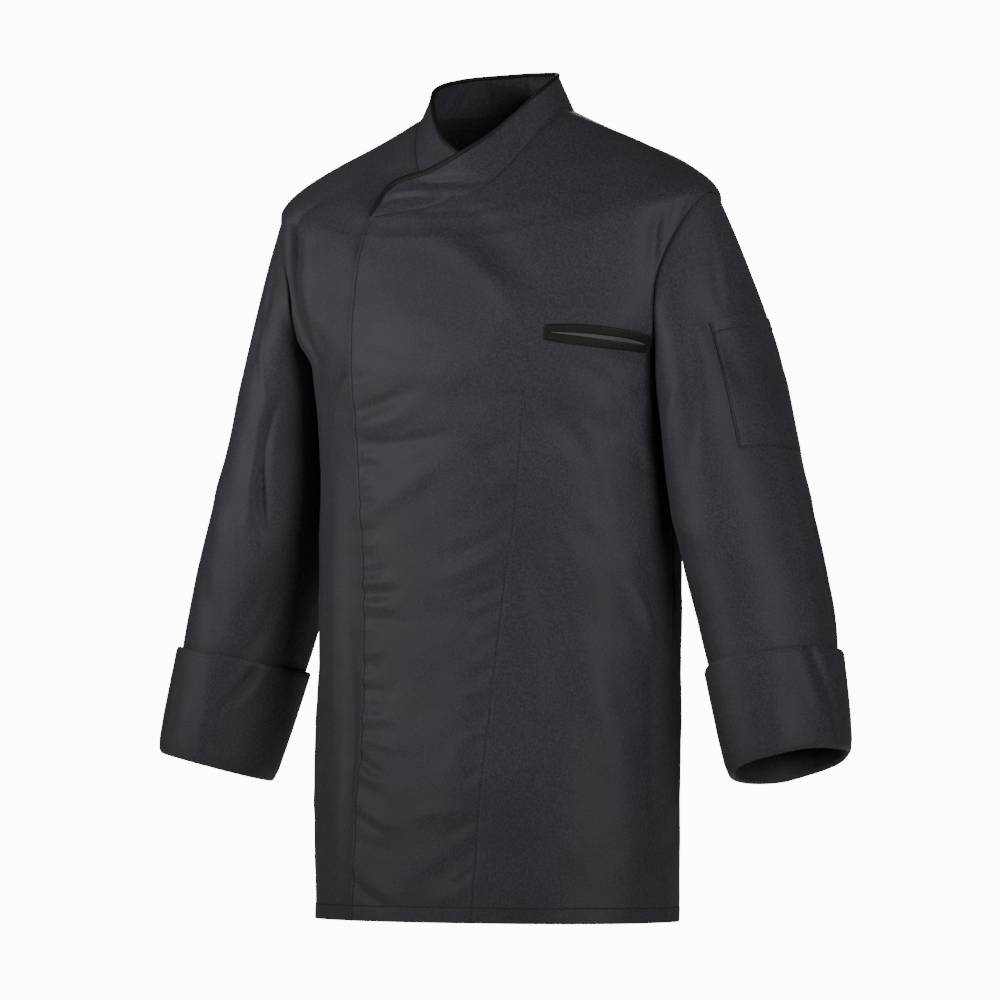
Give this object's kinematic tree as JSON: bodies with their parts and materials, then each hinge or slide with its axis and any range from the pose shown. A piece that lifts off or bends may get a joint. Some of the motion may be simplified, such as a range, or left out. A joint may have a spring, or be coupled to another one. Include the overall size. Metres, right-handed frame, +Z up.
{
  "type": "chef jacket",
  "caption": "Long-sleeved double-breasted chef jacket in its worn shape, with a crossed stand collar, satin piping, breast and sleeve pockets and turned-back cuffs.",
  "frame": {"origin": "midway between the two points where the shoulder seams meet the collar", "axes": "+Z up, the front faces -Y, +X is the wearer's left"},
  "size_m": [0.7631, 0.2459, 0.8371],
  "materials": {
    "twill": "matt cotton and polyester twill",
    "satin": "satin weave binding",
    "pocketing": "matt plain weave"
  },
  "bodies": {
    "root": {"back": "twill", "left_front": "twill", "right_front": "twill", "left_sleeve": "twill", "right_sleeve": "twill", "left_cuff": "twill", "right_cuff": "twill", "collar": "twill", "collar_piping": "satin", "breast_pocket_upper_welt": "satin", "breast_pocket_lower_welt": "satin", "breast_pocket_bag": "pocketing", "sleeve_pocket": "twill"}
  },
  "joints": []
}
